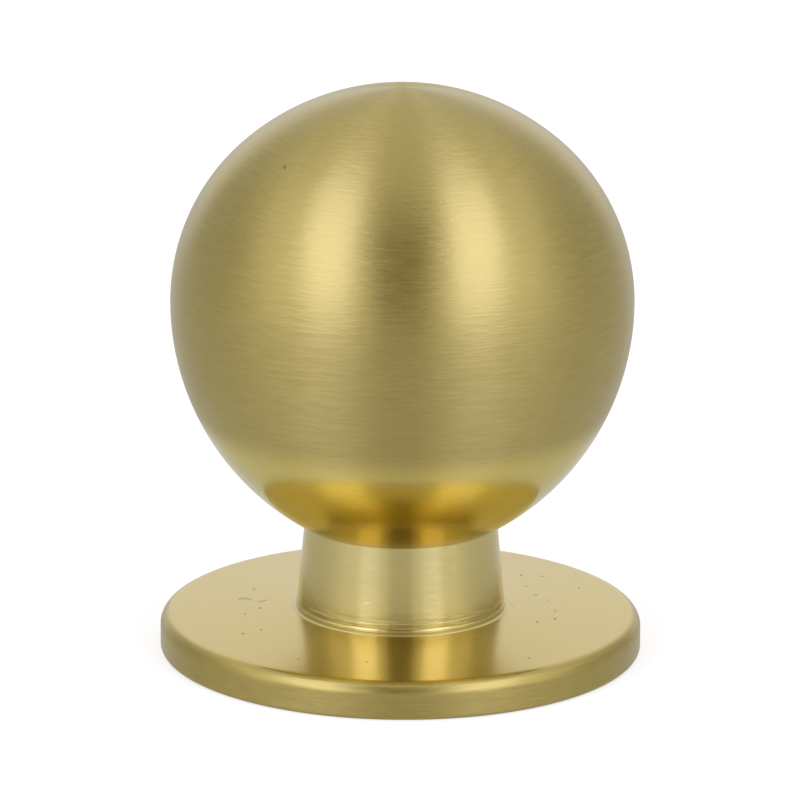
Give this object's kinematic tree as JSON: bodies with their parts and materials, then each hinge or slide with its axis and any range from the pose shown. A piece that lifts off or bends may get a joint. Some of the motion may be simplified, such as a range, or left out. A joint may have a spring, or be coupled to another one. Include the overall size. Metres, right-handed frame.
{
  "type": "cabinet knob",
  "caption": "Brass ball knob with a short tapered neck, standing on a round backplate; a tapped hole up the neck takes a screw from behind the door.",
  "frame": {"origin": "centre of the backplate's back face, which lies against the door", "axes": "+Z along the knob's axis, out from the door; X and Y lie in the door's face, and no turn about Z is preferred"},
  "size_m": [0.03, 0.03, 0.0357],
  "materials": {
    "knob_brass": "satin, brushed round the axis, with a smoother neck",
    "plate_brass": "satin, brushed round the axis, front face nearly polished"
  },
  "bodies": {
    "root": {"knob_body": "knob_brass", "backplate": "plate_brass"}
  },
  "joints": []
}
